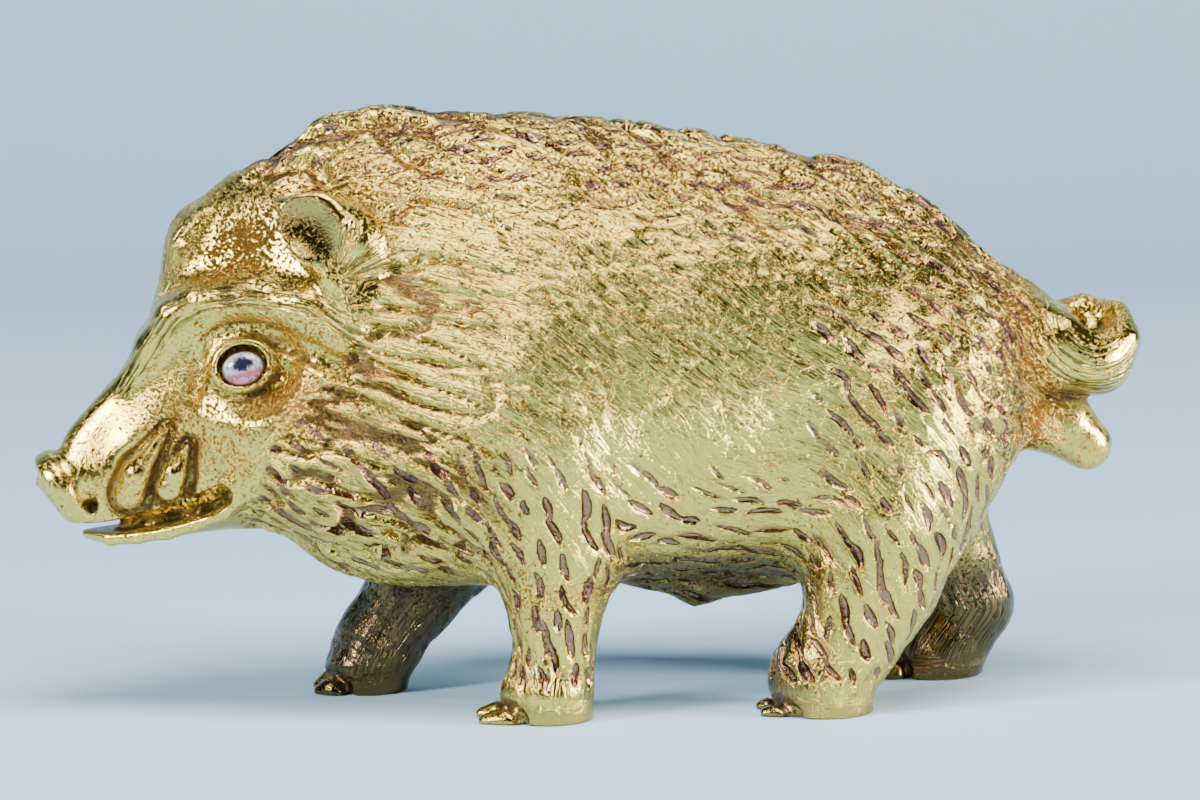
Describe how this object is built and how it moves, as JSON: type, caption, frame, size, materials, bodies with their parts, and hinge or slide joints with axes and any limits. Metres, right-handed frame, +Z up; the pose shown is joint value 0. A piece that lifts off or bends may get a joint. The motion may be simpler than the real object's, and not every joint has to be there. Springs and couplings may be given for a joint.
{
  "type": "bronze boar figurine",
  "caption": "Small cast-bronze wild boar, walking, with a chiselled coat, curled tail, cupped ears and glass eyes, standing on its own feet.",
  "frame": {"origin": "middle of the bounding box's bottom face, on the plane that the four feet stand on", "axes": "+X from the snout to the tail, +Y towards the boar's right side, +Z up"},
  "size_m": [0.1308, 0.0408, 0.0711],
  "materials": {
    "bronze": "polished, with brown patina in the recesses",
    "eye_glass": "glossy, coloured from behind"
  },
  "bodies": {
    "root": {"boar": "bronze", "eye_left": "eye_glass", "eye_right": "eye_glass"}
  },
  "joints": []
}
